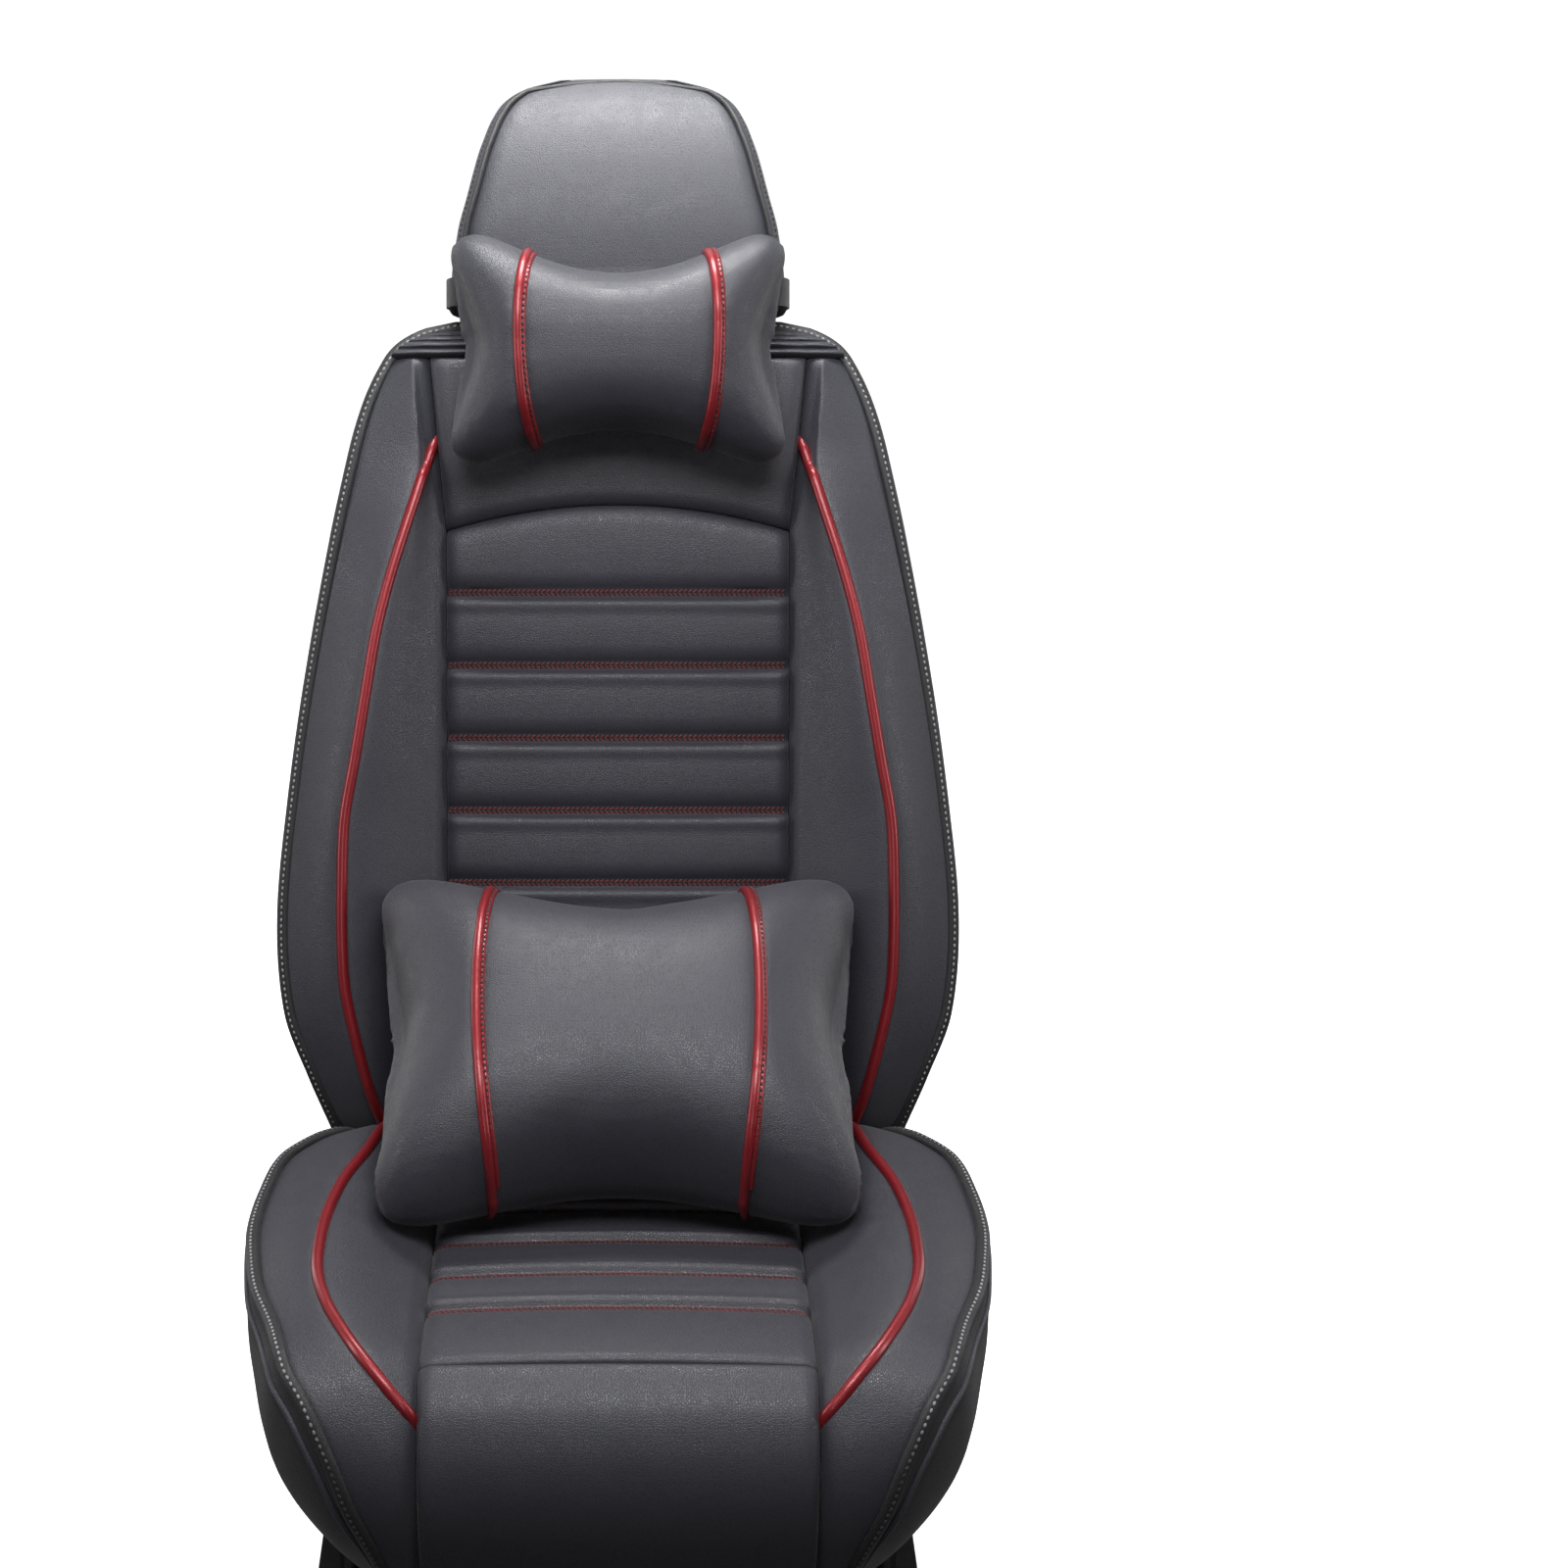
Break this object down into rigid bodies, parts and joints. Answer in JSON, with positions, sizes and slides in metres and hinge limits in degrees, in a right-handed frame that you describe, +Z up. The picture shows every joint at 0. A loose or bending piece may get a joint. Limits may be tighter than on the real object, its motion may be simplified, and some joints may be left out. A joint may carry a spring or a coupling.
{
  "type": "car front seat",
  "caption": "Reclining front car seat in dark imitation leather with red pipings, side bolsters, head restraint, neck pillow, lumbar pillow and floor rails.",
  "frame": {"origin": "centre of the four floor bolts at the underside of the feet", "axes": "+Z up, -Y towards the front of the car, X across the seat; the occupant faces -Y"},
  "size_m": [0.5286, 0.8053, 1.0368],
  "materials": {
    "leather": "satin",
    "leather_side": "satin",
    "piping_red": "satin",
    "piping_black": "satin",
    "elastic": "matte",
    "plastic": "satin",
    "zinc_steel": "satin",
    "black_steel": "satin"
  },
  "bodies": {
    "rails": {"lower_rail_left": "zinc_steel", "lower_rail_right": "zinc_steel", "front_feet": "black_steel", "rear_feet": "black_steel"},
    "seat_base": {"upper_rail_left": "zinc_steel", "upper_rail_right": "zinc_steel", "glide_pads": "plastic", "side_member_left": "black_steel", "side_member_right": "black_steel", "front_cross_tube": "black_steel", "rear_cross_tube": "black_steel", "spring_anchor_tube": "black_steel", "seat_pan": "black_steel", "seat_springs": "zinc_steel", "frame_bolts": "zinc_steel", "recliner_base_plates": "zinc_steel", "recliner_cover_left": "plastic", "recliner_cover_right": "plastic", "seat_centre_pad": "leather", "seat_front_pad": "leather", "seat_bolster_left": "leather", "seat_bolster_right": "leather", "seat_skirt_left": "leather_side", "seat_skirt_right": "leather_side", "seat_red_piping": "piping_red", "seat_edge_piping": "piping_black"},
    "backrest": {"recliner_back_plates": "zinc_steel", "back_side_member_left": "black_steel", "back_side_member_right": "black_steel", "back_top_tube": "black_steel", "back_cross_bars": "black_steel", "back_springs": "zinc_steel", "post_guides": "black_steel", "guide_sleeve_left": "plastic", "guide_sleeve_right": "plastic", "back_centre_pad": "leather", "back_yoke_pad": "leather", "back_top_pad": "leather", "back_bolster_left": "leather", "back_bolster_right": "leather", "back_gusset_left": "leather_side", "back_gusset_right": "leather_side", "back_panel": "plastic", "map_pocket": "leather_side", "back_red_piping": "piping_red", "back_edge_piping": "piping_black"},
    "headrest": {"head_pad": "leather", "head_post_left": "zinc_steel", "head_post_right": "zinc_steel", "head_core_bar": "zinc_steel", "head_piping": "piping_black"},
    "neck_pillow": {"neck_pillow": "leather", "neck_pillow_strap": "elastic", "neck_pillow_piping": "piping_red"},
    "lumbar_pillow": {"lumbar_pillow": "leather", "lumbar_pillow_piping": "piping_red"},
    "recline_lever": {"recliner_shaft": "zinc_steel", "recline_lever": "plastic"},
    "slide_handle": {"slide_handle": "black_steel"},
    "release_button": {"release_button": "plastic"}
  },
  "joints": [
    {"name": "seat_slide", "type": "slide", "parent": "rails", "child": "seat_base", "axis": [0, -1, 0], "range_m": [-0.1, 0.1]},
    {"name": "backrest_recline", "type": "hinge", "parent": "seat_base", "child": "backrest", "pos_m": [0, 0.2, 0.235], "axis": [-1, 0, 0], "range_deg": [0, 60]},
    {"name": "headrest_height", "type": "slide", "parent": "backrest", "child": "headrest", "axis": [0, 0.342, 0.9397], "range_m": [0, 0.07]},
    {"name": "neck_pillow_height", "type": "slide", "parent": "headrest", "child": "neck_pillow", "axis": [0, 0.342, 0.9397], "range_m": [0, 0.05]},
    {"name": "lumbar_pillow_lift", "type": "slide", "parent": "backrest", "child": "lumbar_pillow", "axis": [0, -0.7071, 0.7071], "range_m": [0, 0.25]},
    {"name": "recline_lever_lift", "type": "hinge", "parent": "seat_base", "child": "recline_lever", "pos_m": [0.235, 0.2, 0.235], "axis": [-1, 0, 0], "range_deg": [0, 30], "stiffness_Nm_per_rad": 2, "springref_deg": -11.46},
    {"name": "slide_handle_lift", "type": "hinge", "parent": "seat_base", "child": "slide_handle", "pos_m": [0, -0.15, 0.096], "axis": [-1, 0, 0], "range_deg": [0, 12], "stiffness_Nm_per_rad": 6, "springref_deg": -11.46},
    {"name": "release_button_press", "type": "slide", "parent": "backrest", "child": "release_button", "axis": [-1, 0, 0], "range_m": [0, 0.002], "stiffness_N_per_m": 800, "springref_m": -0.001}
  ]
}
